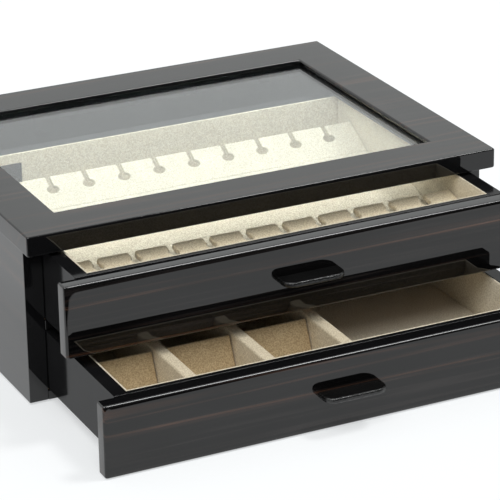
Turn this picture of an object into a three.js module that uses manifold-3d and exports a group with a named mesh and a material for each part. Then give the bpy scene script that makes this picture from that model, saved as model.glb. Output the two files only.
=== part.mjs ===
// A two-drawer jewellery chest with a framed glass top, in millimetres, +Z up.
// The origin is the middle of the felt-covered underside, and the drawers pull out towards -Y.
import * as THREE from "three";
import { mergeVertices } from "three/addons/utils/BufferGeometryUtils.js";
import Module from "manifold-3d";

const wasm = await Module();
wasm.setup();

// ---- Driving dimensions: clearances ----
const GLUE = 0.1; // glue line between two faces that are stuck together
const FIT = 0.3; // play round a piece that is laid or slid in
const DRAWER_SIDE_PLAY = 0.5;
const LOWER_HEADROOM = 0.8; // rim of the lower drawer box to the shelf above
const UPPER_HEADROOM = 2.5; // rim of the upper drawer box to the lid
const BOX_BACK_PLAY = 6.5; // back of a box to the back panel, with the front against the case
const FRONT_FOOT = 0.6; // lower edge of a drawer front above the table, or above the shelf
const FRONT_DROP = 0.3; // top of a drawer front below the rim of its box

// ---- Driving dimensions: case and lid ----
const CASE_W = 354;
const CASE_D = 258;
const FELT_T = 1.4;
const FELT_INSET = 6;
const SIDE_T = 13.5;
const BASE_T = 7;
const BACK_T = 10;
const SHELF_T = 7;
const RUNNER_T = 0.9;
const RUNNER_SETBACK = 2;
const STOP_W = 60;
const STOP_T = 10;
const STOP_SETBACK = 41.2;

const LID_T = 14.5;
const LID_OVERHANG = 3; // past the case at both sides
const LID_OVERHANG_FRONT = 16.5;
const LID_OVERHANG_BACK = 4.8;
const LID_SIDE_MEMBER = 34.5;
const LID_FRONT_MEMBER = 35.5;
const LID_BACK_MEMBER = 36.8;
const LID_ARRIS = 1.1;
const GLASS_DEPTH = 4; // top of the lid down to the glass
const GLASS_T = 4;
const REBATE_W = 5;
const BEAD_OUT = 5; // the front and back beads stand this far inside the opening
const SIDE_BEAD_OUT = 0.3; // and the beads at the sides only this far
const DOWEL_R = 3;
const DOWEL_LENGTH = 20;
const DOWEL_IN_LID = 9.5;

// ---- Driving dimensions: drawers and pulls ----
const UPPER_BOX_H = 51.7;
const LOWER_BOX_H = 43.4;
const UPPER_OPEN = 57.2;
const LOWER_OPEN = 117.2;
const BOX_T = 10.3;
const BOX_FRONT_T = 4.2;
const LINING_T = 1.4;
const FLOOR_LINING_T = 1.5;
const BOTTOM_T = 3;
const BOTTOM_RAISE = 2.6; // lower edge of the box up to its bottom
const GROOVE_DEPTH = 3;
const FRONT_T = 11.3;
const FRONT_INSET = 1.5; // end of a drawer front inside the side of the case
const FRONT_ARRIS = 1.9; // rounding along the edges of a drawer front
const FRONT_BACK_ARRIS = 0.9;
const FRONT_ROLL = 3; // the face starts to fall this far inside the rounding
const FRONT_ROLL_ANGLE = 8; // degrees that the face leans where it meets the rounding
const FRONT_CORNER = 1.6;
const PULL_W = 47;
const PULL_OUT = 15;
const PULL_T = 3.8;
const PULL_CORNER = 8.5;
const PULL_ARRIS = 1.3;
const PULL_X = 3;
const PULL_HEIGHT = 26.9; // lower edge of a drawer front up to the middle of its pull
const SCREW_R = 1.1;
const SCREW_HEAD_R = 2.3;
const SCREW_HEAD_T = 1.4;
const SCREW_SPACING = 26;
const SCREW_IN_PULL = 6;

// ---- Driving dimensions: what the drawers hold ----
const LANES = 10;
const END_LANE = 24; // end of a slotted board to its first slot
const BOARD_T = 3;
const BACK_WELL = 22; // back lining to the upper edge of the keyhole board
const KEYHOLE_BOARD_DROP = 13.4; // rim of the drawer down to that edge
const KEYHOLE_BOARD_LENGTH = 30.5;
const KEYHOLE_BOARD_SLOPE = 0.56;
const KEYHOLE_NECK_W = 3.6;
const KEYHOLE_NECK_LENGTH = 8.6;
const KEYHOLE_EYE_W = 9.5;
const KEYHOLE_EYE_LENGTH = 7.4;
const KEYHOLE_CORNER = 0.6;
const LEDGE_T = 4.5;
const LEDGE_REACH = 49.9; // front lining to the free edge of the slotted ledge
const LEDGE_DROP = 13.5; // rim of the drawer down to that edge
const LEDGE_SLOPE = 0.22;
const LEDGE_NECK_W = 4.4;
const LEDGE_NECK_LENGTH = 5.8;
const LEDGE_EYE_W = 7.2;
const LEDGE_EYE_LENGTH = 8.4;
const LEDGE_CORNER = 2;
const BED_FALL = 0.6;
const BED_CREST = 50; // free edge of the ledge back to the crest of the bed
const BED_SLOPE = 0.37;
const BEARER_T = 10;
const LEDGE_BEARER_SETBACK = 16;
const WINDOW_W = 30;
const WINDOW_H = 27;
const WINDOW_FROM_RIM = 7.8;
const WINDOW_FROM_SIDE = 11.6;

const DIVIDER_T = 9;
const DIVIDER_DROP = 3; // rim of the drawer down to the top of a divider
const DIVIDER_ARRIS = 1.5;
const FIRST_CELL_W = 44.1;
const CELL_W = 49.3;
const PAD_T = 4;
const PAD_DROP = 4.6; // rim of the drawer down to the top of a sloping pad
const PAD_REACH = 57.8; // front lining to the top of a sloping pad
const PAD_LEAN = 0.46;

// ---- Sizes that follow ----
const caseFrontY = -CASE_D / 2;
const caseBackY = CASE_D / 2;
const innerHalfW = CASE_W / 2 - SIDE_T;
const caseZ = FELT_T + GLUE;
const boxLift = GLUE + RUNNER_T + FIT; // panel below a drawer up to the edge of its box
const baseTopZ = caseZ + BASE_T;
const lowerBoxZ = baseTopZ + boxLift;
const shelfZ = lowerBoxZ + LOWER_BOX_H + LOWER_HEADROOM;
const shelfTopZ = shelfZ + SHELF_T;
const upperBoxZ = shelfTopZ + boxLift;
const lidZ = upperBoxZ + UPPER_BOX_H + UPPER_HEADROOM;
const lidTopZ = lidZ + LID_T;
const lidHalfW = CASE_W / 2 + LID_OVERHANG;
const lidY = [caseFrontY - LID_OVERHANG_FRONT, caseBackY + LID_OVERHANG_BACK];

const boxHalfW = innerHalfW - DRAWER_SIDE_PLAY;
const boxInnerHalfW = boxHalfW - BOX_T;
const boxDepth = CASE_D - BACK_T - BOX_BACK_PLAY;
const boxFrontInnerY = GLUE + BOX_FRONT_T;
const boxBackInnerY = boxDepth - BOX_T;
const boxFloor = BOTTOM_RAISE + BOTTOM_T;
const liningHalfW = boxInnerHalfW - GLUE;
const cavityHalfW = liningHalfW - LINING_T;
const cavityFront = boxFrontInnerY + GLUE + LINING_T;
const cavityBack = boxBackInnerY - GLUE - LINING_T;
const cavityFloor = boxFloor + GLUE + FLOOR_LINING_T;

// ---- Materials ----
function finish(color, roughness, metalness = 0) {
  return new THREE.MeshStandardMaterial({ color, roughness, metalness });
}
const ebony = finish("#171310", 0.08);
const blackLacquer = finish("#0c0c0d", 0.12);
const bareWood = finish("#8a6b4a", 0.7);
const suede = finish("#d9c7a2", 0.95);
const felt = finish("#1a1a1a", 0.95);
const glass = finish("#cfe0dc", 0.03);
const brass = finish("#b08d4a", 0.35, 1);

// ---- Helpers ----
const model = new THREE.Group();

function solid(parent, name, geometry, material) {
  const mesh = new THREE.Mesh(geometry, material);
  mesh.name = name;
  parent.add(mesh);
}

function boxGeometry([x0, x1], [y0, y1], [z0, z1]) {
  const geometry = new THREE.BoxGeometry(x1 - x0, y1 - y0, z1 - z0);
  return geometry.translate((x0 + x1) / 2, (y0 + y1) / 2, (z0 + z1) / 2);
}

function toManifold(geometry) {
  const bare = geometry.clone();
  bare.deleteAttribute("normal");
  bare.deleteAttribute("uv");
  const merged = mergeVertices(bare, 1e-4);
  const corners = merged.index.array;
  const triangles = [];
  for (let i = 0; i < corners.length; i += 3) {
    const [a, b, c] = corners.slice(i, i + 3);
    if (a !== b && b !== c && c !== a) triangles.push(a, b, c);
  }
  return new wasm.Manifold(new wasm.Mesh({
    numProp: 3,
    vertProperties: new Float32Array(merged.attributes.position.array),
    triVerts: new Uint32Array(triangles),
  }));
}

function cut(geometry, cutters) {
  const body = cutters.reduce((left, cutter) => left.subtract(toManifold(cutter)), toManifold(geometry));
  const mesh = body.getMesh();
  const result = new THREE.BufferGeometry();
  result.setAttribute("position", new THREE.BufferAttribute(mesh.vertProperties, 3));
  result.setIndex(new THREE.BufferAttribute(mesh.triVerts, 1));
  result.computeVertexNormals();
  return result;
}

function outline(points) {
  return new THREE.Shape(points.map(([x, y]) => new THREE.Vector2(x, y)));
}

// A plate from z = 0 to its thickness, with every arris rounded inside its outline.
function roundedPlate(shape, thickness, arris) {
  const geometry = new THREE.ExtrudeGeometry(shape, {
    depth: thickness - 2 * arris,
    bevelThickness: arris,
    bevelSize: arris,
    bevelOffset: -arris,
    bevelSegments: 3,
    curveSegments: 5,
  });
  return geometry.translate(0, 0, arris);
}

// Extrudes a section drawn in (y, z) along X, between -halfW and halfW.
function alongX(shape, halfW) {
  const geometry = new THREE.ExtrudeGeometry(shape, { depth: 2 * halfW, bevelEnabled: false });
  const frame = new THREE.Matrix4().makeBasis(
    new THREE.Vector3(0, 1, 0),
    new THREE.Vector3(0, 0, 1),
    new THREE.Vector3(1, 0, 0),
  );
  return geometry.applyMatrix4(frame).translate(-halfW, 0, 0);
}

// Extrudes a section drawn in (x, z) along Y, between y0 and y1.
function alongY(shape, y0, y1) {
  const geometry = new THREE.ExtrudeGeometry(shape, {
    depth: y1 - y0,
    bevelEnabled: false,
    curveSegments: 3,
  });
  return geometry.rotateX(Math.PI / 2).translate(0, y1, 0);
}

// ---- Dowels, one through the top of each side panel into the lid ----
function dowelGeometry(side, play) {
  const radius = DOWEL_R + play;
  const geometry = new THREE.CylinderGeometry(radius, radius, DOWEL_LENGTH + 2 * play, 16);
  const x = side * (CASE_W - SIDE_T) / 2;
  return geometry.rotateX(Math.PI / 2).translate(x, 0, lidZ + DOWEL_IN_LID - DOWEL_LENGTH / 2);
}

// ---- Case ----
function addCase() {
  const insideX = [-innerHalfW + GLUE, innerHalfW - GLUE];
  const insideY = [caseFrontY, caseBackY - BACK_T - GLUE];
  const feltX = CASE_W / 2 - FELT_INSET;
  const feltY = CASE_D / 2 - FELT_INSET;
  solid(model, "base_felt", boxGeometry([-feltX, feltX], [-feltY, feltY], [0, FELT_T]), felt);
  solid(model, "base_panel", boxGeometry(insideX, insideY, [caseZ, baseTopZ]), ebony);
  solid(model, "mid_shelf", boxGeometry(insideX, insideY, [shelfZ, shelfTopZ]), ebony);
  const upright = [caseZ, lidZ - GLUE];
  solid(model, "back_panel", boxGeometry(insideX, [caseBackY - BACK_T, caseBackY], upright), ebony);
  for (const [side, name] of [[-1, "left"], [1, "right"]]) {
    const xs = side < 0 ? [-CASE_W / 2, -innerHalfW] : [innerHalfW, CASE_W / 2];
    const panel = boxGeometry(xs, [caseFrontY, caseBackY], upright);
    solid(model, `side_panel_${name}`, cut(panel, [dowelGeometry(side, FIT / 2)]), ebony);
  }
}

// ---- Runners and stop under one drawer ----
function addRunners(prefix, floorZ) {
  const outer = boxHalfW - GLUE;
  const inner = boxInnerHalfW + GLUE;
  const ys = [caseFrontY + RUNNER_SETBACK, caseBackY - BACK_T - GLUE];
  const zs = [floorZ + GLUE, floorZ + GLUE + RUNNER_T];
  solid(model, `${prefix}_runner_left`, boxGeometry([-outer, -inner], ys, zs), bareWood);
  solid(model, `${prefix}_runner_right`, boxGeometry([inner, outer], ys, zs), bareWood);
  const stopY = [caseFrontY + STOP_SETBACK, caseFrontY + STOP_SETBACK + STOP_T];
  const stopZ = [floorZ + GLUE, floorZ + boxLift + BOTTOM_RAISE - FIT];
  const stop = boxGeometry([-STOP_W / 2, STOP_W / 2], stopY, stopZ);
  solid(model, `${prefix}_drawer_stop`, stop, bareWood);
}

// ---- Lid: frame, glass, glazing beads and dowels ----
// The rectangle of the frame's opening, made larger on every side by grow.
function opening(grow) {
  const x = lidHalfW - LID_SIDE_MEMBER + grow;
  return [[-x, x], [lidY[0] + LID_FRONT_MEMBER - grow, lidY[1] - LID_BACK_MEMBER + grow]];
}

function addLid() {
  const glassZ = lidTopZ - GLASS_DEPTH;
  const edge = outline([
    [-lidHalfW, lidY[0]],
    [lidHalfW, lidY[0]],
    [lidHalfW, lidY[1]],
    [-lidHalfW, lidY[1]],
  ]);
  const plate = roundedPlate(edge, LID_T, LID_ARRIS).translate(0, 0, lidZ);
  const cutters = [
    boxGeometry(...opening(0), [lidZ - 1, lidTopZ + 1]),
    boxGeometry(...opening(REBATE_W), [lidZ - 1, glassZ]),
    dowelGeometry(-1, FIT / 2),
    dowelGeometry(1, FIT / 2),
  ];
  solid(model, "lid_frame", cut(plate, cutters), ebony);
  solid(model, "lid_dowel_left", dowelGeometry(-1, 0), bareWood);
  solid(model, "lid_dowel_right", dowelGeometry(1, 0), bareWood);

  const paneZ = [glassZ - GLUE - GLASS_T, glassZ - GLUE];
  solid(model, "glass_pane", boxGeometry(...opening(REBATE_W - FIT), paneZ), glass);

  const [[x0, x1], [y0, y1]] = opening(REBATE_W - GLUE);
  const beadW = REBATE_W - GLUE + BEAD_OUT;
  const sideBeadW = REBATE_W - GLUE + SIDE_BEAD_OUT;
  const beadZ = [lidZ + GLUE, paneZ[0] - GLUE];
  const sideY = [y0 + beadW + GLUE, y1 - beadW - GLUE];
  solid(model, "glazing_bead_front", boxGeometry([x0, x1], [y0, y0 + beadW], beadZ), blackLacquer);
  solid(model, "glazing_bead_back", boxGeometry([x0, x1], [y1 - beadW, y1], beadZ), blackLacquer);
  solid(model, "glazing_bead_left", boxGeometry([x0, x0 + sideBeadW], sideY, beadZ), blackLacquer);
  const right = boxGeometry([x1 - sideBeadW, x1], sideY, beadZ);
  solid(model, "glazing_bead_right", right, blackLacquer);
}

// ---- Drawer box, front and pull, the same for both drawers ----
// The skin of a drawer front as rings, from its back face to its face. Each ring is a rectangle
// with rounded corners: how far it lies inside the outline, and its height above the back face.
function frontRings() {
  const radians = (degrees) => (degrees * Math.PI) / 180;
  const meet = radians(FRONT_ROLL_ANGLE);
  const rollR = FRONT_ROLL / Math.sin(meet);
  const rings = [90, 45, 0].map((degrees) => {
    const lean = radians(degrees);
    return [FRONT_BACK_ARRIS * (1 - Math.cos(lean)), FRONT_BACK_ARRIS * (1 - Math.sin(lean))];
  });
  const arrisInset = FRONT_ARRIS * (1 - Math.sin(meet));
  const rollFall = rollR * (1 - Math.cos(meet));
  for (const degrees of [90, 67.5, 45, 26, FRONT_ROLL_ANGLE]) {
    const lean = radians(degrees);
    const fall = rollFall + FRONT_ARRIS * (Math.cos(meet) - Math.cos(lean));
    rings.push([FRONT_ARRIS * (1 - Math.sin(lean)), FRONT_T - fall]);
  }
  for (const lean of [meet / 2, 0]) {
    const inset = arrisInset + rollR * (Math.sin(meet) - Math.sin(lean));
    rings.push([inset, FRONT_T - rollR * (1 - Math.cos(lean))]);
  }
  return rings;
}

// A panel lying on z = 0 with that skin. The corners open out as the rings get smaller.
function rolledPanel([x0, x1], [y0, y1]) {
  const rings = frontRings();
  const cornerSteps = 4;
  const positions = [];
  for (const [inset, height] of rings) {
    const radius = FRONT_CORNER + inset;
    const xs = [x0 + inset + radius, x1 - inset - radius];
    const ys = [y0 + inset + radius, y1 - inset - radius];
    const centres = [[xs[1], ys[1]], [xs[0], ys[1]], [xs[0], ys[0]], [xs[1], ys[0]]];
    centres.forEach(([x, y], quarter) => {
      for (let step = 0; step <= cornerSteps; step += 1) {
        const angle = (quarter + step / cornerSteps) * (Math.PI / 2);
        positions.push(x + radius * Math.cos(angle), y + radius * Math.sin(angle), height);
      }
    });
  }
  const around = 4 * (cornerSteps + 1);
  const index = [];
  for (let ring = 0; ring < rings.length - 1; ring += 1) {
    for (let i = 0; i < around; i += 1) {
      const a = ring * around + i;
      const b = ring * around + ((i + 1) % around);
      index.push(a, b, b + around, a, b + around, a + around);
    }
  }
  const last = (rings.length - 1) * around;
  for (let i = 1; i < around - 1; i += 1) {
    index.push(0, i + 1, i);
    index.push(last, last + i, last + i + 1);
  }
  const geometry = new THREE.BufferGeometry();
  geometry.setAttribute("position", new THREE.Float32BufferAttribute(positions, 3));
  geometry.setIndex(index);
  return geometry;
}

// Inside a drawer's group y is the distance behind the front panel's back face,
// and z is the height above the lower edge of the box.
function screwGeometry(x, z, play, proud) {
  const tip = boxFrontInnerY + FRONT_T + GLUE + SCREW_IN_PULL + play;
  const shank = SCREW_R + play;
  const headTaper = (SCREW_HEAD_R - SCREW_R) / SCREW_HEAD_T;
  const rim = SCREW_HEAD_R + play + proud * headTaper;
  const profile = [[0, -proud], [rim, -proud], [shank, SCREW_HEAD_T], [shank, tip - 1], [0, tip]];
  const points = profile.map(([radius, along]) => new THREE.Vector2(radius, along));
  return new THREE.LatheGeometry(points, 12).rotateX(Math.PI).translate(x, boxFrontInnerY, z);
}

function pullGeometry() {
  const half = PULL_W / 2;
  const side = half - PULL_CORNER;
  const shape = new THREE.Shape();
  shape.moveTo(-half, 2 * PULL_ARRIS);
  shape.lineTo(-half, PULL_CORNER - PULL_OUT);
  shape.absarc(-side, PULL_CORNER - PULL_OUT, PULL_CORNER, Math.PI, 1.5 * Math.PI);
  shape.absarc(side, PULL_CORNER - PULL_OUT, PULL_CORNER, 1.5 * Math.PI, 2 * Math.PI);
  shape.lineTo(half, 2 * PULL_ARRIS);
  shape.closePath();
  return roundedPlate(shape, PULL_T, PULL_ARRIS).translate(0, 0, -PULL_T / 2);
}

function addFrontAndPull(drawer, prefix, boxH, frontDrop) {
  const top = boxH - FRONT_DROP;
  const halfW = CASE_W / 2 - FRONT_INSET;
  const pullZ = PULL_HEIGHT - frontDrop;
  const screwX = [PULL_X - SCREW_SPACING / 2, PULL_X + SCREW_SPACING / 2];
  const screwHoles = screwX.map((x) => screwGeometry(x, pullZ, FIT / 2, 0.5));

  const panel = rolledPanel([-halfW, halfW], [-frontDrop, top]).rotateX(Math.PI / 2);
  solid(drawer, `${prefix}_front`, cut(panel, screwHoles), ebony);

  const pull = pullGeometry().translate(PULL_X, -FRONT_T - GLUE, pullZ);
  const root = boxGeometry([-CASE_W, CASE_W], [-FRONT_T - GLUE, 0], [-CASE_W, CASE_W]);
  solid(drawer, `${prefix}_pull`, cut(pull, [root, ...screwHoles]), ebony);
  solid(drawer, `${prefix}_pull_screw_left`, screwGeometry(screwX[0], pullZ, 0, 0), brass);
  solid(drawer, `${prefix}_pull_screw_right`, screwGeometry(screwX[1], pullZ, 0, 0), brass);

  const wall = boxGeometry([-liningHalfW, liningHalfW], [GLUE, boxFrontInnerY], [0, boxH]);
  solid(drawer, `${prefix}_box_front`, cut(wall, screwHoles), blackLacquer);
}

function addBox(drawer, prefix, boxH) {
  const back = boxGeometry([-liningHalfW, liningHalfW], [boxBackInnerY, boxDepth], [0, boxH]);
  solid(drawer, `${prefix}_box_back`, back, blackLacquer);

  // Each side is grooved on its inner face for the edge of the bottom.
  const grooveX = boxInnerHalfW + GROOVE_DEPTH;
  const section = [
    [boxHalfW, 0],
    [boxHalfW, boxH],
    [boxInnerHalfW, boxH],
    [boxInnerHalfW, boxFloor + GLUE],
    [grooveX, boxFloor + GLUE],
    [grooveX, BOTTOM_RAISE - GLUE],
    [boxInnerHalfW, BOTTOM_RAISE - GLUE],
    [boxInnerHalfW, 0],
  ];
  const mirrored = section.map(([x, z]) => [-x, z]).reverse();
  solid(drawer, `${prefix}_box_left`, alongY(outline(mirrored), GLUE, boxDepth), blackLacquer);
  solid(drawer, `${prefix}_box_right`, alongY(outline(section), GLUE, boxDepth), blackLacquer);

  const bottomX = grooveX - GLUE;
  const bottomY = [boxFrontInnerY + GLUE, boxBackInnerY - GLUE];
  const bottom = boxGeometry([-bottomX, bottomX], bottomY, [BOTTOM_RAISE, boxFloor]);
  solid(drawer, `${prefix}_bottom`, bottom, bareWood);
}

function addLinings(drawer, prefix, boxH, windows) {
  const zs = [boxFloor + GLUE, boxH];
  const across = [-liningHalfW, liningHalfW];
  const between = [cavityFront + GLUE, cavityBack - GLUE];
  const front = boxGeometry(across, [cavityFront - LINING_T, cavityFront], zs);
  const back = boxGeometry(across, [cavityBack, cavityBack + LINING_T], zs);
  solid(drawer, `${prefix}_lining_front`, front, suede);
  solid(drawer, `${prefix}_lining_back`, windows.length ? cut(back, windows) : back, suede);
  const left = boxGeometry([-liningHalfW, -cavityHalfW], between, zs);
  const right = boxGeometry([cavityHalfW, liningHalfW], between, zs);
  solid(drawer, `${prefix}_lining_left`, left, suede);
  solid(drawer, `${prefix}_lining_right`, right, suede);
  const floorX = cavityHalfW - GLUE;
  const floor = boxGeometry([-floorX, floorX], between, [boxFloor + GLUE, cavityFloor]);
  solid(drawer, `${prefix}_floor_lining`, floor, suede);
}

function addDrawer(prefix, open, boxZ, boxH, footZ, windows) {
  const drawer = new THREE.Group();
  drawer.position.set(0, caseFrontY - open, boxZ);
  model.add(drawer);
  addFrontAndPull(drawer, prefix, boxH, boxZ - footZ);
  addBox(drawer, prefix, boxH);
  addLinings(drawer, prefix, boxH, windows);
  return drawer;
}

// ---- Upper drawer: keyhole board at the back, bed, and slotted ledge at the front ----
// A board whose upper edge lies on y = 0, with one keyhole open to that edge in each lane.
function keyholeOutline(halfW, length, hole, corner) {
  const shape = new THREE.Shape();
  shape.moveTo(-halfW, -length);
  shape.lineTo(halfW, -length);
  shape.lineTo(halfW, 0);
  const neck = hole.neckW / 2;
  const eyeY = -hole.neckLength - hole.eyeLength / 2;
  const meet = Math.asin(hole.neckW / hole.eyeW);
  const pitch = 2 * (halfW - END_LANE) / (LANES - 1);
  for (let lane = LANES - 1; lane >= 0; lane -= 1) {
    const x = (lane - (LANES - 1) / 2) * pitch;
    const top = Math.PI / 2;
    shape.absarc(x + neck + corner, -corner, corner, top, Math.PI);
    shape.absellipse(x, eyeY, hole.eyeW / 2, hole.eyeLength / 2, top - meet, top + meet, true);
    shape.absarc(x - neck - corner, -corner, corner, 0, top);
  }
  shape.lineTo(-halfW, 0);
  shape.closePath();
  return shape;
}

// Tilts such a board about its upper edge, at (edgeY, edgeZ), so that it falls towards -Y.
function inclinedBoard(shape, thickness, slope, edgeY, edgeZ) {
  const geometry = new THREE.ExtrudeGeometry(shape, {
    depth: thickness,
    bevelEnabled: false,
    curveSegments: 4,
  });
  const tilted = geometry.translate(0, 0, -thickness).rotateX(Math.atan(slope));
  return tilted.translate(0, edgeY, edgeZ);
}

function addNecklaceInsert(drawer) {
  const halfW = cavityHalfW - FIT;
  const floorZ = cavityFloor + FIT;

  const ledgeY = cavityFront + LEDGE_REACH;
  const ledgeZ = UPPER_BOX_H - LEDGE_DROP;
  const ledgeAngle = Math.atan(LEDGE_SLOPE);
  const ledgeLength = (LEDGE_REACH - FIT) / Math.cos(ledgeAngle);
  const slot = {
    neckW: LEDGE_NECK_W,
    neckLength: LEDGE_NECK_LENGTH,
    eyeW: LEDGE_EYE_W,
    eyeLength: LEDGE_EYE_LENGTH,
  };
  const ledgeShape = keyholeOutline(halfW, ledgeLength, slot, LEDGE_CORNER);
  const ledge = inclinedBoard(ledgeShape, LEDGE_T, LEDGE_SLOPE, ledgeY, ledgeZ);
  solid(drawer, "slotted_ledge", ledge, suede);

  const ledgeUnderZ = (y) => ledgeZ - (ledgeY - y) * LEDGE_SLOPE - LEDGE_T / Math.cos(ledgeAngle);
  const bearerY = cavityFront + LEDGE_BEARER_SETBACK;
  const ledgeBearer = outline([
    [bearerY, floorZ],
    [bearerY + BEARER_T, floorZ],
    [bearerY + BEARER_T, ledgeUnderZ(bearerY + BEARER_T) - FIT],
    [bearerY, ledgeUnderZ(bearerY) - FIT],
  ]);
  solid(drawer, "ledge_bearer", alongX(ledgeBearer, halfW), bareWood);

  const boardY = cavityBack - BACK_WELL;
  const boardZ = UPPER_BOX_H - KEYHOLE_BOARD_DROP;
  const keyhole = {
    neckW: KEYHOLE_NECK_W,
    neckLength: KEYHOLE_NECK_LENGTH,
    eyeW: KEYHOLE_EYE_W,
    eyeLength: KEYHOLE_EYE_LENGTH,
  };
  const boardShape = keyholeOutline(halfW, KEYHOLE_BOARD_LENGTH, keyhole, KEYHOLE_CORNER);
  const board = inclinedBoard(boardShape, BOARD_T, KEYHOLE_BOARD_SLOPE, boardY, boardZ);
  solid(drawer, "keyhole_board", board, suede);

  // The bed starts at the foot of the keyhole board, runs almost level, then falls to the floor.
  const boardAngle = Math.atan(KEYHOLE_BOARD_SLOPE);
  const bedY = boardY - KEYHOLE_BOARD_LENGTH * Math.cos(boardAngle) - FIT;
  const bedZ = boardZ - KEYHOLE_BOARD_LENGTH * Math.sin(boardAngle);
  const crestY = ledgeY + BED_CREST;
  const crestZ = bedZ - BED_FALL;
  const toeY = crestY - (crestZ - floorZ) / BED_SLOPE;
  const bedAngle = Math.atan(BED_SLOPE);
  const bed = outline([
    [toeY, floorZ],
    [toeY + BOARD_T / Math.sin(bedAngle), floorZ],
    [crestY + BOARD_T * Math.tan(bedAngle / 2), crestZ - BOARD_T],
    [bedY, bedZ - BOARD_T],
    [bedY, bedZ],
    [crestY, crestZ],
  ]);
  solid(drawer, "necklace_bed", alongX(bed, halfW), suede);

  // A bearer under the joint carries the back of the bed and the foot of the keyhole board.
  const bedBearerTop = bedZ - BOARD_T - 2 * FIT;
  const bedBearer = outline([
    [bedY - BEARER_T / 2, floorZ],
    [bedY + BEARER_T / 2, floorZ],
    [bedY + BEARER_T / 2, bedBearerTop],
    [bedY - BEARER_T / 2, bedBearerTop],
  ]);
  solid(drawer, "bed_bearer", alongX(bedBearer, halfW), bareWood);
}

// ---- Lower drawer: dividers and sloping pads ----
function addDividersAndPads(drawer) {
  const ys = [cavityFront + FIT, cavityBack - FIT];
  const floorZ = cavityFloor + FIT;
  const topZ = LOWER_BOX_H - DIVIDER_DROP;
  const padTopZ = LOWER_BOX_H - PAD_DROP;
  const padY = cavityFront + PAD_REACH;
  const padFootY = padY - (padTopZ - floorZ) * PAD_LEAN;
  const padThick = PAD_T * Math.hypot(1, PAD_LEAN); // level thickness of the leaning pad
  let x = -cavityHalfW;
  for (let i = 0; i < 3; i += 1) {
    const cellW = i === 0 ? FIRST_CELL_W : CELL_W;
    const pad = outline([
      [padFootY, floorZ],
      [padFootY + padThick, floorZ],
      [padY + padThick, padTopZ - 1],
      [padY + padThick - 1, padTopZ],
      [padY + 1, padTopZ],
      [padY - PAD_LEAN, padTopZ - 1],
    ]);
    const middle = x + cellW / 2;
    const padGeometry = alongX(pad, cellW / 2 - FIT).translate(middle, 0, 0);
    solid(drawer, `sloping_pad_${i + 1}`, padGeometry, suede);

    const left = x + cellW;
    const right = left + DIVIDER_T;
    const divider = new THREE.Shape();
    divider.moveTo(left, floorZ);
    divider.lineTo(right, floorZ);
    divider.absarc(right - DIVIDER_ARRIS, topZ - DIVIDER_ARRIS, DIVIDER_ARRIS, 0, Math.PI / 2);
    divider.absarc(left + DIVIDER_ARRIS, topZ - DIVIDER_ARRIS, DIVIDER_ARRIS, Math.PI / 2, Math.PI);
    divider.closePath();
    solid(drawer, `divider_${i + 1}`, alongY(divider, ...ys), suede);
    x = right;
  }
}

// ---- Assembly ----
addCase();
addRunners("lower", baseTopZ);
addRunners("upper", shelfTopZ);
addLid();

const windowX = -cavityHalfW + WINDOW_FROM_SIDE;
const windowZ = UPPER_BOX_H - WINDOW_FROM_RIM;
const backWindow = boxGeometry(
  [windowX, windowX + WINDOW_W],
  [cavityBack - 1, cavityBack + LINING_T + 1],
  [windowZ - WINDOW_H, windowZ],
);
const upperFootZ = shelfTopZ + FRONT_FOOT;
const upper = addDrawer("upper", UPPER_OPEN, upperBoxZ, UPPER_BOX_H, upperFootZ, [backWindow]);
addNecklaceInsert(upper);

const lower = addDrawer("lower", LOWER_OPEN, lowerBoxZ, LOWER_BOX_H, FRONT_FOOT, []);
addDividersAndPads(lower);

export default model;
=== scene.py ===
import math

import bmesh
import bpy
from mathutils import Matrix, Vector


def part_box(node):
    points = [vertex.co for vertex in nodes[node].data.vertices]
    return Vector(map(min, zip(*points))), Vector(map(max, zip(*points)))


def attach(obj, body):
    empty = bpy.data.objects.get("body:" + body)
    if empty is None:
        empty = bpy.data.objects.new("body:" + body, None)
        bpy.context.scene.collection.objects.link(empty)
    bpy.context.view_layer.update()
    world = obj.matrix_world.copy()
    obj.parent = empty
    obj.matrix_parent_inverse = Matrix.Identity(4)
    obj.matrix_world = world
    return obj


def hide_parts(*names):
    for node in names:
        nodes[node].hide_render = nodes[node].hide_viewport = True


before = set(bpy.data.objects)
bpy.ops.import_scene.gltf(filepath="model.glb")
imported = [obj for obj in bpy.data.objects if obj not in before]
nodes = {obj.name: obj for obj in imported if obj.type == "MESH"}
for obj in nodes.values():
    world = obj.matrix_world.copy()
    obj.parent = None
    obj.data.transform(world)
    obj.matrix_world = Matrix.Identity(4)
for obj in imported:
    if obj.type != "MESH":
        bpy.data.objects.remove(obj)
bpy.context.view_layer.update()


# ---- Camera ----
# A long lens some two metres away, well above the chest and off its front left corner. It is
# turned a hair off level.
camera_data = bpy.data.cameras.new("camera")
camera_data.sensor_width = 36
camera_data.lens = 203.5
camera = bpy.data.objects.new("camera", camera_data)
bpy.context.scene.collection.objects.link(camera)
bpy.context.scene.camera = camera

camera_place = (-0.7948, -1.7791, 0.8409)
yaw = math.radians(25.5)
pitch = math.radians(22.52)
roll = math.radians(-0.97)
forward = Vector((
    math.sin(yaw) * math.cos(pitch),
    math.cos(yaw) * math.cos(pitch),
    -math.sin(pitch),
))
level_right = Vector((math.cos(yaw), -math.sin(yaw), 0))
level_up = level_right.cross(forward)
camera_right = level_right * math.cos(roll) + level_up * math.sin(roll)
camera_up = level_up * math.cos(roll) - level_right * math.sin(roll)
turn = Matrix((camera_right, camera_up, -forward)).transposed().to_4x4()
camera.matrix_world = Matrix.Translation(camera_place) @ turn


# ---- Case: sides, base, shelf and back ----
# Boards faced with dark striped veneer under a thick polished lacquer, glued edge to edge. The
# stripes run from front to back on the sides and from side to side everywhere else.
def new_material(name):
    material = bpy.data.materials.new(name)
    material.use_nodes = True
    return material, material.node_tree, material.node_tree.nodes["Principled BSDF"]


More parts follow.
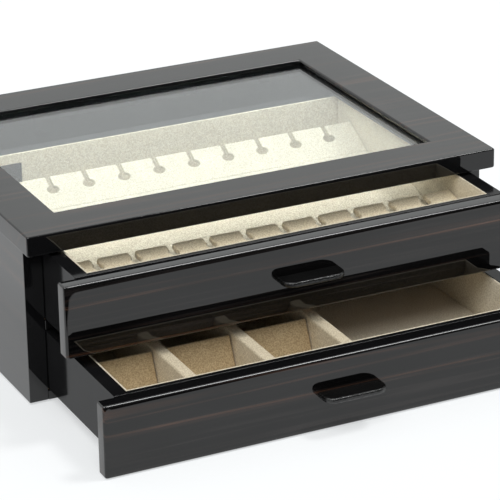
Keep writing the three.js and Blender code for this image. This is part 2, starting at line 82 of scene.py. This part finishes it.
def set_inputs(node, **values):
    """Sets a node's inputs by name; an underscore in a keyword stands for a space."""
    for key, value in values.items():
        node.inputs[key.replace("_", " ")].default_value = value


def noise(tree, scale, detail=2.0, roughness=0.5, distortion=0.0):
    """Noise over the piece; scale is how many features fit in a metre along x, y and z."""
    place_in_piece = tree.nodes.new("ShaderNodeTexCoord")
    mapping = tree.nodes.new("ShaderNodeMapping")
    mapping.inputs["Scale"].default_value = scale
    tree.links.new(place_in_piece.outputs["Object"], mapping.inputs["Vector"])
    texture = tree.nodes.new("ShaderNodeTexNoise")
    set_inputs(texture, Scale=1.0, Detail=detail, Roughness=roughness, Distortion=distortion)
    tree.links.new(mapping.outputs["Vector"], texture.inputs["Vector"])
    return texture.outputs["Fac"]


def ramp(tree, source, stops):
    """Turns a 0..1 value into colours; stops is a list of (position, (r, g, b))."""
    node = tree.nodes.new("ShaderNodeValToRGB")
    elements = node.color_ramp.elements
    while len(elements) < len(stops):
        elements.new(0.5)
    for element, (position, color) in zip(elements, stops):
        element.position = position
        element.color = (*color, 1)
    tree.links.new(source, node.inputs["Fac"])
    return node.outputs["Color"]


def feed(tree, socket, value):
    """Links a socket to another node's output, or sets it to a plain value."""
    if isinstance(value, bpy.types.NodeSocket):
        tree.links.new(value, socket)
    else:
        socket.default_value = value


def blend_colors(tree, mode, factor, first, second):
    node = tree.nodes.new("ShaderNodeMix")
    node.data_type = "RGBA"
    node.blend_type = mode
    feed(tree, node.inputs[0], factor)
    feed(tree, node.inputs[6], first)
    feed(tree, node.inputs[7], second)
    return node.outputs[2]


def calculate(tree, operation, first, second=0.0):
    node = tree.nodes.new("ShaderNodeMath")
    node.operation = operation
    feed(tree, node.inputs[0], first)
    feed(tree, node.inputs[1], second)
    return node.outputs[0]


def bump(tree, height, distance):
    node = tree.nodes.new("ShaderNodeBump")
    set_inputs(node, Strength=1.0, Distance=distance)
    tree.links.new(height, node.inputs["Height"])
    return node.outputs["Normal"]


def lacquer_over(shader, tree, weight, roughness, ripple, per_metre=34, detail=1.0):
    """A hard clear coat, poured thick and polished, with per_metre ripples in a metre of it."""
    set_inputs(shader, Roughness=0.45, Coat_Weight=weight, Coat_Roughness=roughness, Coat_IOR=1.53)
    shader.inputs["Specular IOR Level"].default_value = 0.0
    waves = bump(tree, noise(tree, (per_metre,) * 3, detail=detail), ripple)
    tree.links.new(waves, shader.inputs["Coat Normal"])


def striped_veneer(name, grain, strength, plain, coat_weight=1.0):
    """Near-black veneer with brown lines along axis number grain. Faces towards plain have none."""
    material, tree, shader = new_material(name)

    def figure(per_metre, along, detail, roughness=0.5):
        """Noise drawn out by the grain: per_metre features across it, and along down its length."""
        scale = [along if axis == grain else per_metre for axis in range(3)]
        return noise(tree, scale, detail=detail, roughness=roughness)

    color = (0.0042, 0.004, 0.0043, 1)
    for lines, level, width, brown in (
        (figure(24, 0.35, 0.6), 0.50, 0.0065, (0.085, 0.038, 0.020)),
        (figure(31, 0.5, 0.5), 0.42, 0.0050, (0.066, 0.032, 0.020)),
        (figure(47, 0.6, 1.0), 0.57, 0.0060, (0.034, 0.019, 0.014)),
        (figure(150, 1.5, 2.0), 0.50, 0.0220, (0.0195, 0.0165, 0.0155)),
    ):
        shown = [part * strength for part in brown]
        line = ramp(tree, lines, [
            (level - 2.0 * width, (0, 0, 0)),
            (level - 0.3 * width, shown),
            (level + 0.3 * width, shown),
            (level + 2.0 * width, (0, 0, 0)),
        ])
        color = blend_colors(tree, "ADD", 1.0, color, line)
    patches = ramp(tree, figure(60, 9, 2.0), [(0.35, (0.35,) * 3), (0.62, (1.1,) * 3)])
    color = blend_colors(tree, "MULTIPLY", 1.0, color, patches)
    pores = figure(700, 12, 2.0, roughness=0.6)
    pore_color = ramp(tree, pores, [(0.35, (0.7, 0.68, 0.66)), (0.7, (1.2, 1.17, 1.15))])
    color = blend_colors(tree, "MULTIPLY", 1.0, color, pore_color)

    facing = tree.nodes.new("ShaderNodeTexCoord")
    parts = tree.nodes.new("ShaderNodeSeparateXYZ")
    tree.links.new(facing.outputs["Normal"], parts.inputs["Vector"])
    towards_plain = calculate(tree, "ABSOLUTE", parts.outputs[plain])
    edge = ramp(tree, towards_plain, [(0.3, (0, 0, 0)), (0.6, (1, 1, 1))])
    color = blend_colors(tree, "MIX", edge, color, (0.005, 0.005, 0.0055, 1))
    tree.links.new(color, shader.inputs["Base Color"])
    lacquer_over(shader, tree, coat_weight, 0.012, 0.000015)
    return material


def dress(name, material, arris=0.0):
    """Gives a solid its material and, with arris, breaks its sharp edges by that much."""
    piece = nodes[name]
    piece.data.materials.clear()
    piece.data.materials.append(material)
    weld = piece.modifiers.new("weld", "WELD")
    weld.merge_threshold = 1e-6
    if arris:
        bevel = piece.modifiers.new("arris", "BEVEL")
        bevel.width = arris
        bevel.segments = 3
        bevel.limit_method = "ANGLE"
        bevel.angle_limit = math.radians(50)
    for polygon in piece.data.polygons:
        polygon.use_smooth = True
    split = piece.modifiers.new("arrises", "EDGE_SPLIT")
    split.split_angle = math.radians(38)
    piece.modifiers.new("normals", "WEIGHTED_NORMAL")


panel_veneer = striped_veneer("panel_veneer", grain=0, strength=0.6, plain="Y")
side_veneer = striped_veneer("side_veneer", grain=1, strength=0.45, plain="Y")
panel_arris = 0.0006
side_arris = 0.0008
for name in ("base_panel", "mid_shelf", "back_panel"):
    dress(name, panel_veneer, panel_arris)
for name in ("side_panel_left", "side_panel_right"):
    dress(name, side_veneer, side_arris)


# ---- Felt under the base ----
# One sheet of black felt, cut a little smaller than the base panel and glued under it, so that
# the chest doesn't scratch what it stands on.
def edge_places(low, high, radius, pitch):
    """Places along one edge of a block: close together in the rounding, pitch apart between."""
    inner = high - low - 2 * radius
    count = max(1, round(inner / pitch))
    middle = [low + radius + inner * i / count for i in range(count + 1)]
    rounding = [radius * (1 - math.cos(math.radians(a))) for a in (0, 30, 60)]
    return [low + r for r in rounding] + middle + [high - r for r in reversed(rounding)]


def mesh_object(name, vertices, faces, material):
    mesh = bpy.data.meshes.new(name)
    mesh.from_pydata(vertices, [], faces)
    mesh.polygons.foreach_set("use_smooth", [True] * len(faces))
    mesh.materials.append(material)
    piece = bpy.data.objects.new(name, mesh)
    bpy.context.scene.collection.objects.link(piece)
    return piece


def wrapped_block(name, low, high, radius, material, crown=0.0, thin=2, pitch=0.008, lay=None):
    """A block with edges rolled by radius. Its two wide faces swell by crown along axis number
    thin, its points are about pitch apart, and lay moves each of them to where the block lies."""
    low, high = Vector(low), Vector(high)
    grid = [edge_places(low[axis], high[axis], radius, pitch) for axis in range(3)]
    inner_low = low + Vector((radius,) * 3)
    inner_high = high - Vector((radius,) * 3)
    wide = [axis for axis in range(3) if axis != thin]
    numbers = {}
    vertices = []

    def corner(key):
        """The number of the point at one place of the grid, made when it is first asked for."""
        if key not in numbers:
            point = Vector([grid[axis][key[axis]] for axis in range(3)])
            core = Vector([min(max(point[a], inner_low[a]), inner_high[a]) for a in range(3)])
            offset = point - core
            if offset.length > 1e-9:
                point = core + offset.normalized() * radius
            swell = crown
            for axis in wide:
                share = (2 * point[axis] - low[axis] - high[axis]) / (high[axis] - low[axis])
                swell *= 1 - share * share
            middle = (low[thin] + high[thin]) / 2
            point[thin] += swell * (point[thin] - middle) / ((high[thin] - low[thin]) / 2)
            numbers[key] = len(vertices)
            vertices.append(lay(point) if lay else point)
        return numbers[key]

    faces = []
    for axis in range(3):
        u, v = (axis + 1) % 3, (axis + 2) % 3
        for end in (0, len(grid[axis]) - 1):
            for i in range(len(grid[u]) - 1):
                for j in range(len(grid[v]) - 1):
                    ring = []
                    for di, dj in ((0, 0), (1, 0), (1, 1), (0, 1)):
                        key = [0, 0, 0]
                        key[axis], key[u], key[v] = end, i + di, j + dj
                        ring.append(corner(tuple(key)))
                    faces.append(ring if end else ring[::-1])
    return mesh_object(name, vertices, faces, material)


def napped_cloth(name, dark, light, per_metre, depth, sheen):
    """A cloth with a short brushed nap: mottled, matt, and a little brighter at a low angle."""
    material, tree, shader = new_material(name)
    nap = noise(tree, (per_metre,) * 3, detail=4, roughness=0.7)
    color = ramp(tree, nap, [(0.40, dark), (0.59, light)])
    strokes = noise(tree, (90, 90, 90), detail=2)
    stroke_color = ramp(tree, strokes, [(0.3, (0.93, 0.93, 0.92)), (0.7, (1, 1, 1))])
    color = blend_colors(tree, "MULTIPLY", 1.0, color, stroke_color)
    tree.links.new(color, shader.inputs["Base Color"])
    set_inputs(shader, Roughness=0.95, Sheen_Weight=sheen, Sheen_Roughness=0.45)
    shader.inputs["Specular IOR Level"].default_value = 0.1
    tree.links.new(bump(tree, nap, depth), shader.inputs["Normal"])
    return material


def place(piece, body, node):
    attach(piece, body)
    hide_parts(node)


black_felt = napped_cloth(
    "black_felt", (0.008, 0.008, 0.009), (0.022, 0.022, 0.024),
    per_metre=1500, depth=0.0002, sheen=0.2,
)
felt_roll = 0.0005
felt_sheet = wrapped_block("felt_sheet", *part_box("base_felt"), felt_roll, black_felt, pitch=0.03)
place(felt_sheet, "chest", "base_felt")


# ---- Runners, stops, dowels, bearers and drawer bottoms ----
# Plain pieces of pale wood, planed and left bare. The runners, stops and bearers are glued on,
# the dowels are driven in, and the bottoms slide into grooves. None shows in the closed chest.
def bare_wood(name, grain):
    material, tree, shader = new_material(name)
    scale = [6 if axis == grain else 260 for axis in range(3)]
    rings = noise(tree, scale, detail=4, roughness=0.6, distortion=0.3)
    color = ramp(tree, rings, [
        (0.3, (0.22, 0.125, 0.06)),
        (0.55, (0.36, 0.22, 0.115)),
        (0.75, (0.44, 0.29, 0.16)),
    ])
    tree.links.new(color, shader.inputs["Base Color"])
    set_inputs(shader, Roughness=0.72)
    tree.links.new(bump(tree, rings, 0.0001), shader.inputs["Normal"])
    return material


wood_across = bare_wood("wood_across", grain=0)
wood_deep = bare_wood("wood_deep", grain=1)
wood_upright = bare_wood("wood_upright", grain=2)
block_arris = 0.0004
bottom_arris = 0.0003
runner_arris = 0.0002
for drawer in ("upper", "lower"):
    dress(f"{drawer}_drawer_stop", wood_across, block_arris)
    dress(f"{drawer}_bottom", wood_across, bottom_arris)
    for side in ("left", "right"):
        dress(f"{drawer}_runner_{side}", wood_deep, runner_arris)
for name in ("ledge_bearer", "bed_bearer"):
    dress(name, wood_across, block_arris)
for name in ("lid_dowel_left", "lid_dowel_right"):
    dress(name, wood_upright, block_arris)


# ---- Lid frame and glazing beads ----
# The frame is one veneered panel with its middle cut out and a lip left for the glass. Four black
# beads, glued in the rebate below, keep the pane up against the lip.
def black_lacquer(name, tint, coat_weight, coat_roughness, ripple, per_metre=34, detail=1.0):
    """Black-stained wood under a clear coat, with the stain a little uneven."""
    material, tree, shader = new_material(name)
    stain = noise(tree, (40, 40, 40), detail=2)
    color = ramp(tree, stain, [(0.3, [c * 0.8 for c in tint]), (0.7, [c * 1.2 for c in tint])])
    tree.links.new(color, shader.inputs["Base Color"])
    lacquer_over(shader, tree, coat_weight, coat_roughness, ripple, per_metre, detail)
    return material


box_black = black_lacquer(
    "box_black", (0.0075, 0.0075, 0.008), coat_weight=0.45, coat_roughness=0.09, ripple=0.00003
)
lid_veneer = striped_veneer("lid_veneer", grain=0, strength=0.6, plain="Y", coat_weight=0.9)
lid_arris = 0.0015
thin_arris = 0.0004
dress("lid_frame", lid_veneer, lid_arris)
for edge in ("front", "back", "left", "right"):
    dress(f"glazing_bead_{edge}", box_black, thin_arris)


# ---- Glass pane ----
# Float glass 4 mm thick, faintly blue-green, with its edges ground. It lies under the frame's lip
# and rests on the beads. Lamps shine straight through it, so that the suede below is lit.
clear_glass, glass_tree, glass_shader = new_material("clear_glass")
set_inputs(
    glass_shader, Base_Color=(0.945, 0.985, 0.99, 1), Roughness=0.0, IOR=1.5,
    Transmission_Weight=1.0,
)
let_through = glass_tree.nodes.new("ShaderNodeBsdfTransparent")
let_through.inputs["Color"].default_value = (0.955, 0.985, 0.99, 1)
ray = glass_tree.nodes.new("ShaderNodeLightPath")
choose = glass_tree.nodes.new("ShaderNodeMixShader")
glass_tree.links.new(ray.outputs["Is Shadow Ray"], choose.inputs[0])
glass_tree.links.new(glass_shader.outputs["BSDF"], choose.inputs[1])
glass_tree.links.new(let_through.outputs["BSDF"], choose.inputs[2])
glass_surface = glass_tree.nodes["Material Output"].inputs["Surface"]
glass_tree.links.new(choose.outputs["Shader"], glass_surface)
glass_arris = 0.0003
dress("glass_pane", clear_glass, glass_arris)


# ---- Drawer fronts ----
# Veneered panels, their arrises rounded, under the same thick lacquer as the case. Each laps over
# the front edges of the case's sides and is glued to its drawer box.
front_veneer = striped_veneer("front_veneer", grain=0, strength=0.55, plain="Z")
for drawer in ("upper", "lower"):
    dress(f"{drawer}_front", front_veneer)


# ---- Pulls and their screws ----
# Solid tabs of black-stained wood, rounded all round, with a thick lacquer that dried like orange
# peel. Two brass countersunk screws, driven from inside the drawer, hold each one.
pull_black = black_lacquer(
    "pull_black", (0.006, 0.006, 0.006), coat_weight=1.0, coat_roughness=0.06,
    ripple=0.0006, per_metre=480, detail=3,
)
bright_brass, brass_tree, brass_shader = new_material("bright_brass")
turned = noise(brass_tree, (900, 60, 900), detail=2)
brass_color = ramp(brass_tree, turned, [(0.3, (0.5, 0.32, 0.12)), (0.7, (0.68, 0.47, 0.2))])
brass_tree.links.new(brass_color, brass_shader.inputs["Base Color"])
set_inputs(brass_shader, Metallic=1.0, Roughness=0.3)
for drawer in ("upper", "lower"):
    dress(f"{drawer}_pull", pull_black)
    for side in ("left", "right"):
        dress(f"{drawer}_pull_screw_{side}", bright_brass)


# ---- Drawer boxes ----
# Boards about 10 mm thick, thinner behind the front panel, glued at the corners and lacquered
# black on every face. The two sides are grooved for the drawer's bottom.
for drawer in ("upper", "lower"):
    for wall in ("front", "back", "left", "right"):
        dress(f"{drawer}_box_{wall}", box_black, thin_arris)


# ---- Suede linings ----
# Card wrapped in cream suede and glued to the four walls and the floor of each drawer. The wrap
# rolls over the upper edge, which shows as a pale line inside the black rim.
def suede(name, dark, light, sheen=0.2):
    return napped_cloth(name, dark, light, per_metre=1000, depth=0.0004, sheen=sheen)


cream_suede = suede("cream_suede", (0.62, 0.53, 0.39), (0.90, 0.83, 0.67))
lining_roll = 0.0006


def line_with_suede(drawer, part, thin):
    """One wrapped card, whose thickness lies along axis number thin."""
    node = f"{drawer}_{part}"
    card = wrapped_block(f"suede_{node}", *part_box(node), lining_roll, cream_suede, thin=thin)
    place(card, f"{drawer}_drawer", node)


for drawer in ("upper", "lower"):
    line_with_suede(drawer, "lining_front", thin=1)
    line_with_suede(drawer, "lining_left", thin=0)
    line_with_suede(drawer, "lining_right", thin=0)
    line_with_suede(drawer, "floor_lining", thin=2)
line_with_suede("lower", "lining_back", thin=1)


# ---- Back lining of the upper drawer ----
# The same wrapped card, glued to the back of the drawer box. A small window is cut near its left
# end, and the black wall shows through it.
def cut_board(name, loops, depth, roll, material, matrix, resolution=3):
    """A board cut to closed loops of (x, y), with every edge rolled by roll, moved by matrix."""
    curve = bpy.data.curves.new(name, "CURVE")
    curve.dimensions = "2D"
    curve.fill_mode = "BOTH"
    curve.extrude = depth / 2 - roll
    curve.bevel_depth = roll
    curve.bevel_resolution = resolution
    curve.offset = -roll
    for loop in loops:
        spline = curve.splines.new("POLY")
        spline.points.add(len(loop) - 1)
        for point, (x, y) in zip(spline.points, loop):
            point.co = (x, y, 0, 1)
        spline.use_cyclic_u = True
    holder = bpy.data.objects.new(name, curve)
    bpy.context.scene.collection.objects.link(holder)
    bpy.context.view_layer.update()
    mesh = bpy.data.meshes.new_from_object(holder)
    bpy.data.objects.remove(holder)
    bpy.data.curves.remove(curve)
    mesh.name = name
    mesh.transform(matrix)
    shaped = bmesh.new()
    shaped.from_mesh(mesh)
    bmesh.ops.remove_doubles(shaped, verts=shaped.verts, dist=1e-6)
    bmesh.ops.recalc_face_normals(shaped, faces=shaped.faces)
    shaped.to_mesh(mesh)
    shaped.free()
    mesh.materials.clear()
    mesh.materials.append(material)
    mesh.polygons.foreach_set("use_smooth", [True] * len(mesh.polygons))
    piece = bpy.data.objects.new(name, mesh)
    bpy.context.scene.collection.objects.link(piece)
    split = piece.modifiers.new("arrises", "EDGE_SPLIT")
    split.split_angle = math.radians(50)
    piece.modifiers.new("normals", "WEIGHTED_NORMAL")
    return piece


def arc(x, y, radius, start, turned_by, steps):
    """Points on an arc about (x, y), from the angle start on, both angles in radians."""
    angles = [start + turned_by * i / steps for i in range(steps + 1)]
    return [(x + radius * math.cos(angle), y + radius * math.sin(angle)) for angle in angles]


def rounded_rectangle(x0, x1, y0, y1, radius):
    """Corner points of a rectangle, each corner drawn as an arc."""
    points = []
    centres = ((x1 - radius, y1 - radius), (x0 + radius, y1 - radius))
    centres += ((x0 + radius, y0 + radius), (x1 - radius, y0 + radius))
    for quarter, (x, y) in enumerate(centres):
        points += arc(x, y, radius, math.pi / 2 * quarter, math.pi / 2, 4)
    return points


def upright_plane(y):
    """Carries a drawing in (x, y) to the vertical plane that faces the drawer's front."""
    return Matrix(((1, 0, 0, 0), (0, 0, -1, y), (0, 1, 0, 0), (0, 0, 0, 1)))


low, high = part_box("upper_lining_back")
lining_corner = 0.0008
window_corner = 0.0012
window_width = 0.030
window_height = 0.027
window_left = low.x + 0.0130
window_top = high.z - 0.0078
window_right = window_left + window_width
window_foot = window_top - window_height
back_loops = [
    rounded_rectangle(low.x, high.x, low.z, high.z, lining_corner),
    rounded_rectangle(window_left, window_right, window_foot, window_top, window_corner),
]
back_lining = cut_board(
    "suede_upper_lining_back", back_loops, high.y - low.y, lining_roll, cream_suede,
    upright_plane((low.y + high.y) / 2),
)
place(back_lining, "upper_drawer", "upper_lining_back")


# ---- Keyhole board and slotted ledge ----
# Two suede-wrapped boards that slope down towards the drawer's front. Chains hang in ten lanes:
# from an open keyhole in the back board to an open slot in the padded ledge in front.
def slotted_outline(half_width, length, centres, neck, eye, corner):
    """A board with its upper edge on y = 0. neck and eye are the (width, length) of each cut, and
    corner rounds the cut's mouth."""
    neck_width, neck_length = neck
    eye_width, eye_length = eye
    points = [(-half_width, -length), (half_width, -length), (half_width, 0)]
    meet = math.asin(neck_width / eye_width)
    eye_y = -neck_length - eye_length / 2
    for x in sorted(centres, reverse=True):
        points += arc(x + neck_width / 2 + corner, -corner, corner, math.pi / 2, math.pi / 2, 6)
        round_the_eye = arc(0, 0, 1, math.pi / 2 - meet, 2 * meet - 2 * math.pi, 16)
        points += [(x + eye_width / 2 * u, eye_y + eye_length / 2 * v) for u, v in round_the_eye]
        points += arc(x - neck_width / 2 - corner, -corner, corner, 0, math.pi / 2, 6)
    points.append((-half_width, 0))
    return points


def sloping_plane(edge_y, edge_z, slope, thickness):
    """Carries a drawing to a board whose upper surface falls towards -Y from (edge_y, edge_z)."""
    tilt = Matrix.Rotation(math.atan(slope), 4, "X")
    to_middle = Matrix.Translation((0, 0, -thickness / 2))
    return Matrix.Translation((0, edge_y, edge_z)) @ tilt @ to_middle


lane_pitch = 0.0282
lanes = [(i - 4.5) * lane_pitch for i in range(10)]

low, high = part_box("keyhole_board")
board_slope = 0.56
board_thickness = 0.003
board_length = 0.0305
board_edge_y = high.y - board_thickness * math.sin(math.atan(board_slope))
keyhole_loop = slotted_outline(
    high.x, board_length, lanes, neck=(0.0036, 0.0086), eye=(0.0095, 0.0074), corner=0.0006
)
keyhole_board = cut_board(
    "suede_keyhole_board", [keyhole_loop], board_thickness, lining_roll, cream_suede,
    sloping_plane(board_edge_y, high.z, board_slope, board_thickness),
)
place(keyhole_board, "upper_drawer", "keyhole_board")

low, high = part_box("slotted_ledge")
ledge_slope = 0.22
ledge_thickness = 0.0045
ledge_roll = 0.0014
ledge_angle = math.atan(ledge_slope)
ledge_edge_y = high.y - ledge_thickness * math.sin(ledge_angle)
ledge_length = (ledge_edge_y - low.y) / math.cos(ledge_angle)
ledge_loop = slotted_outline(
    high.x, ledge_length, lanes, neck=(0.0044, 0.0058), eye=(0.0072, 0.0084), corner=0.002
)
# Painted light: the ledge's suede is the cream suede made paler, standing in for the light that
# reaches the ledge under the lid's front edge.
ledge_suede_painted_light = suede("ledge_suede_painted_light", (0.68, 0.56, 0.37), (0.98, 0.88, 0.65), sheen=0.5)
slotted_ledge = cut_board(
    "suede_slotted_ledge", [ledge_loop], ledge_thickness, ledge_roll, ledge_suede_painted_light,
    sloping_plane(ledge_edge_y, high.z, ledge_slope, ledge_thickness), resolution=5,
)
place(slotted_ledge, "upper_drawer", "slotted_ledge")


# ---- Bed between them ----
# A board that lies almost level behind and then falls to the floor, wrapped in one piece of
# suede that is creased along the crest. It rests on its bearer and on the floor lining.
low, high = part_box("necklace_bed")
bed_thickness = 0.003
bed_roll = 0.0005
level_part = 0.0751
rise_to_back = 0.0006
crest_y = high.y - level_part
crest_z = high.z - rise_to_back
fall = math.atan2(crest_z - low.z, crest_y - low.y)
bed_loop = [
    (low.y, low.z),
    (low.y + bed_thickness / math.sin(fall), low.z),
    (crest_y + bed_thickness * math.tan(fall / 2), crest_z - bed_thickness),
    (high.y, high.z - bed_thickness),
    (high.y, high.z),
    (crest_y, crest_z),
]
across_plane = Matrix(((0, 0, 1, 0), (1, 0, 0, 0), (0, 1, 0, 0), (0, 0, 0, 1)))
necklace_bed = cut_board(
    "suede_necklace_bed", [bed_loop], high.x - low.x, bed_roll, cream_suede, across_plane
)
place(necklace_bed, "upper_drawer", "necklace_bed")


# ---- Dividers and sloping pads of the lower drawer ----
# Three full-depth walls of board, wrapped in suede over their rounded tops and glued down. In each
# small compartment a thin padded board, wrapped in the same cream suede, leans back towards the
# rear. Both suedes are coloured with painted shade: warmer on the walls, darker and warmer on the
# pads.
# Painted shade: the walls' suede is the cream suede tinted warmer, standing in for the warm light
# bounced about in their shade.
divider_suede_painted_shade = suede("divider_suede_painted_shade", (0.60, 0.49, 0.33), (0.90, 0.80, 0.60))
divider_roll = 0.0005
top_radius = 0.002
top_steps = 8
for i in (1, 2, 3):
    low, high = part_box(f"divider_{i}")
    loop = [(low.x, low.z), (high.x, low.z)]
    for step in range(top_steps + 1):
        angle = math.pi * step / top_steps
        x = high.x - top_radius if step <= top_steps // 2 else low.x + top_radius
        z = high.z - top_radius
        loop.append((x + top_radius * math.cos(angle), z + top_radius * math.sin(angle)))
    divider = cut_board(
        f"suede_divider_{i}", [loop], high.y - low.y, divider_roll, divider_suede_painted_shade,
        upright_plane((low.y + high.y) / 2),
    )
    place(divider, "lower_drawer", f"divider_{i}")

# Painted shade: the pads' suede is the cream suede made darker and warmer, standing in for the deep
# shade under the upper drawer.
pad_suede_painted_shade = suede("pad_suede_painted_shade", (0.39, 0.28, 0.155), (0.62, 0.485, 0.295))
pad_back = 0.0006
pad_face = 0.0042
pad_foot = 0.004
pad_top_gap = 0.0006
pad_side_gap = 0.0005
pad_roll = 0.0012
pad_crown = 0.0005
pad_lift = 0.0003
pad_lean = math.atan(0.46)
for i in (1, 2, 3):
    low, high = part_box(f"sloping_pad_{i}")
    pad_length = (high.z - low.z) / math.cos(pad_lean)
    foot = Matrix.Translation((0, low.y, low.z + pad_lift))
    lean = foot @ Matrix.Rotation(-pad_lean, 4, "X")
    pad = wrapped_block(
        f"suede_sloping_pad_{i}",
        (low.x, pad_back, pad_foot * math.sin(pad_lean)),
        (high.x - pad_side_gap, pad_face, pad_length - pad_top_gap),
        pad_roll, pad_suede_painted_shade, crown=pad_crown, thin=1, pitch=0.004,
        lay=lambda point: lean @ point,
    )
    place(pad, "lower_drawer", f"sloping_pad_{i}")


# ---- Floor and light ----
# A white sweep in a white room. Mirror reflections alone see the sweep end in front of the chest,
# with a dark room beyond it. A broad lamp stands high in front on the left, and a narrow, weaker
# one on the right draws the light line along the rounded edges.
def fade(tree, source, start, end):
    """0 at start and 1 at end, level beyond them."""
    node = tree.nodes.new("ShaderNodeMapRange")
    node.inputs["From Min"].default_value = start
    node.inputs["From Max"].default_value = end
    tree.links.new(source, node.inputs["Value"])
    return node.outputs["Result"]


def seen_directly(tree):
    """1 for a look at the surroundings, straight or in a polished or clear surface. The second
    result is 1 for a polished surface alone."""
    sight = tree.nodes.new("ShaderNodeLightPath").outputs
    plain = calculate(tree, "MAXIMUM", sight["Is Camera Ray"], sight["Is Transmission Ray"])
    return calculate(tree, "MAXIMUM", plain, sight["Is Glossy Ray"]), sight["Is Glossy Ray"]


sweep_size = 24.0
sweep_turn = math.radians(25.5)
sweep_end = -0.425
sweep_gone = -0.44
lit_white = (0.93, 0.935, 0.945, 1)
seen_white = (0.5, 0.505, 0.51, 1)
unlit = (0.02, 0.02, 0.02, 1)
sweep_glow = 0.53
sweep_white, sweep_tree, sweep_shader = new_material("sweep_white")
set_inputs(sweep_shader, Roughness=0.9, Emission_Color=(0.97, 0.99, 1, 1))
sweep_shader.inputs["Specular IOR Level"].default_value = 0.0
direct, polished = seen_directly(sweep_tree)
spot = sweep_tree.nodes.new("ShaderNodeTexCoord")
along_sweep = sweep_tree.nodes.new("ShaderNodeVectorMath")
along_sweep.operation = "DOT_PRODUCT"
along_sweep.inputs[1].default_value = (math.sin(sweep_turn), math.cos(sweep_turn), 0)
sweep_tree.links.new(spot.outputs["Object"], along_sweep.inputs[0])
beyond = fade(sweep_tree, along_sweep.outputs["Value"], start=sweep_end, end=sweep_gone)
beyond = calculate(sweep_tree, "MULTIPLY", beyond, polished)
sweep_color = blend_colors(sweep_tree, "MIX", direct, lit_white, seen_white)
sweep_color = blend_colors(sweep_tree, "MIX", beyond, sweep_color, unlit)
sweep_tree.links.new(sweep_color, sweep_shader.inputs["Base Color"])
glow = calculate(sweep_tree, "MULTIPLY", direct, sweep_glow)
glow = calculate(sweep_tree, "MULTIPLY", glow, calculate(sweep_tree, "SUBTRACT", 1.0, beyond))
sweep_tree.links.new(glow, sweep_shader.inputs["Emission Strength"])
half = sweep_size / 2
sweep_corners = [(-half, -half, 0), (half, -half, 0), (half, half, 0), (-half, half, 0)]
mesh_object("sweep", sweep_corners, [(0, 1, 2, 3)], sweep_white)

room_light = 0.44
dark_share = 0.93
room = bpy.data.worlds.new("room")
bpy.context.scene.world = room
room.use_nodes = True
room_tree = room.node_tree
background = room_tree.nodes["Background"]
background.inputs["Color"].default_value = (0.96, 0.985, 0.98, 1)
direct, polished = seen_directly(room_tree)
direction = room_tree.nodes.new("ShaderNodeTexCoord")
parts = room_tree.nodes.new("ShaderNodeSeparateXYZ")
room_tree.links.new(direction.outputs["Generated"], parts.inputs["Vector"])
in_front = fade(room_tree, parts.outputs["Y"], start=-0.15, end=-0.55)
low_down = fade(room_tree, parts.outputs["Z"], start=0.8, end=0.6)
dark = calculate(room_tree, "MULTIPLY", in_front, low_down)
dark = calculate(room_tree, "MULTIPLY", dark, polished)
dark = calculate(room_tree, "MULTIPLY", dark, dark_share)
level = room_tree.nodes.new("ShaderNodeMapRange")
set_inputs(level, To_Min=room_light, To_Max=1.0)
room_tree.links.new(direct, level.inputs["Value"])
lit = calculate(room_tree, "SUBTRACT", 1.0, dark)
strength = calculate(room_tree, "MULTIPLY", level.outputs["Result"], lit)
room_tree.links.new(strength, background.inputs["Strength"])


def studio_lamp(name, energy, width, towards):
    """A lamp so far off that its light comes from one direction, spread over width degrees.
    towards points from the chest to the lamp."""
    light = bpy.data.lights.new(name, "SUN")
    light.energy = energy
    light.angle = math.radians(width)
    lamp = bpy.data.objects.new(name, light)
    bpy.context.scene.collection.objects.link(lamp)
    lamp.matrix_world = Vector(towards).to_track_quat("Z", "Y").to_matrix().to_4x4()


studio_lamp("broad_lamp", energy=1.40, width=37, towards=(-0.42, -0.58, 1))
studio_lamp("narrow_lamp", energy=0.75, width=12, towards=(0.40, -0.15, 0.90))

bpy.context.scene.view_settings.view_transform = "Standard"
